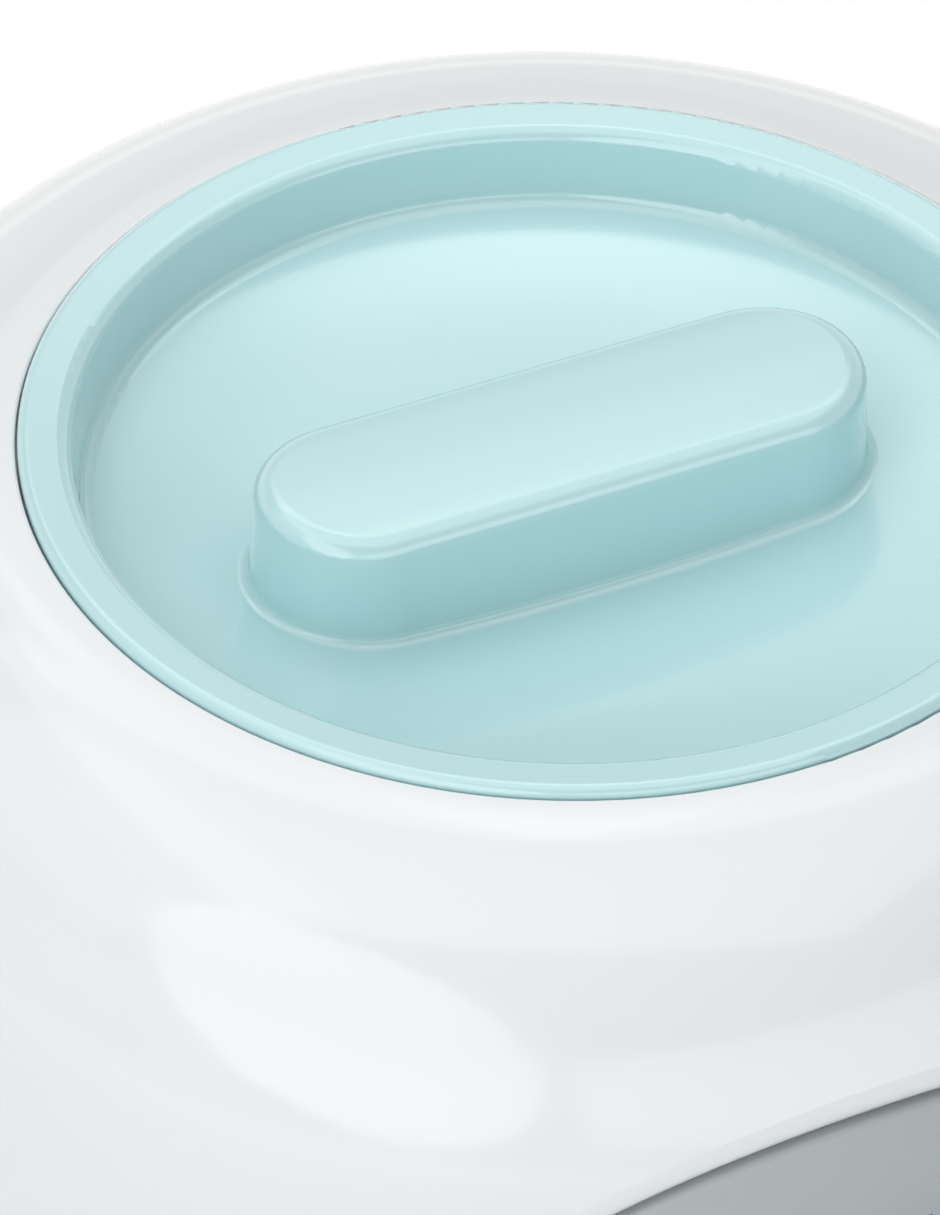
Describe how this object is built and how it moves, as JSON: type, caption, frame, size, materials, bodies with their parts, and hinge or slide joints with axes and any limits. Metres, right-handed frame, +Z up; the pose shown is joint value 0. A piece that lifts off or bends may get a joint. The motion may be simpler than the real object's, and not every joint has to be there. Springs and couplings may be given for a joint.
{
  "type": "wax warmer",
  "caption": "Round salon wax warmer with a lift-out pot, a sunk lid with a bar handle, and a curved front control panel with a temperature knob.",
  "frame": {"origin": "on the pot's axis, on the surface that the feet stand on", "axes": "+Z up, +X along the lid's handle, -Y towards the control panel and knob"},
  "size_m": [0.2052, 0.2217, 0.1158],
  "materials": {
    "white_gloss": "glossy moulded",
    "mint_gloss": "satin gloss moulded",
    "panel_grey": "fine satin moulded",
    "base_grey": "fine matt moulded",
    "foot_rubber": "matt",
    "pot_aluminium": "spun satin",
    "well_aluminium": "drawn",
    "silicone": "smooth",
    "glass_fibre": "woven",
    "heater_cast": "cast",
    "steel": "zinc plated",
    "tag_brass": "plain",
    "sensor_copper": "drawn",
    "black_moulding": "matt moulded",
    "fuse_ceramic": "sleeved",
    "block_white": "moulded",
    "gland_grey": "fine matt moulded",
    "lens_green": "clear tinted",
    "lens_amber": "clear tinted",
    "lamp_glass": "clear",
    "lead_black": "sheathed",
    "lead_blue": "sheathed",
    "lead_green": "sheathed",
    "lead_brown": "sheathed"
  },
  "bodies": {
    "housing": {"upper_housing": "white_gloss", "control_panel": "panel_grey", "panel_screws": "steel", "power_lens": "lens_green", "heating_lens": "lens_amber", "indicator_lamps": "lamp_glass", "lamp_leads": "lead_black", "thermostat_body": "black_moulding", "thermostat_screws": "steel", "sensor_bulb": "sensor_copper", "bulb_clip": "steel", "thermal_fuse": "fuse_ceramic", "fuse_clip": "steel", "heater_well": "well_aluminium", "well_seal": "silicone", "well_screws": "steel", "insulation_sleeve": "glass_fibre", "heater_plate": "heater_cast", "pressure_plate": "steel", "earth_tag": "tag_brass", "plate_nut": "steel", "base_plate": "base_grey", "rubber_feet": "foot_rubber", "base_screws": "steel", "cord_gland": "gland_grey", "gland_nut": "gland_grey", "terminal_block": "block_white", "terminal_screws": "tag_brass", "neutral_lead": "lead_blue", "earth_lead": "lead_green", "live_lead": "lead_brown", "switched_lead": "lead_brown", "fuse_lead": "lead_brown"},
    "pot": {"inner_pot": "pot_aluminium"},
    "lid": {"lid": "mint_gloss"},
    "knob": {"temperature_knob": "white_gloss", "thermostat_spindle": "steel"}
  },
  "joints": [
    {"name": "pot_lift", "type": "slide", "parent": "housing", "child": "pot", "axis": [0, 0, 1], "range_m": [0, 0.1]},
    {"name": "lid_lift", "type": "slide", "parent": "pot", "child": "lid", "axis": [0, 0, 1], "range_m": [0, 0.08]},
    {"name": "knob_turn", "type": "hinge", "parent": "housing", "child": "knob", "pos_m": [0, -0.1, 0.0555], "axis": [0, 1, 0], "range_deg": [0, 270]}
  ]
}
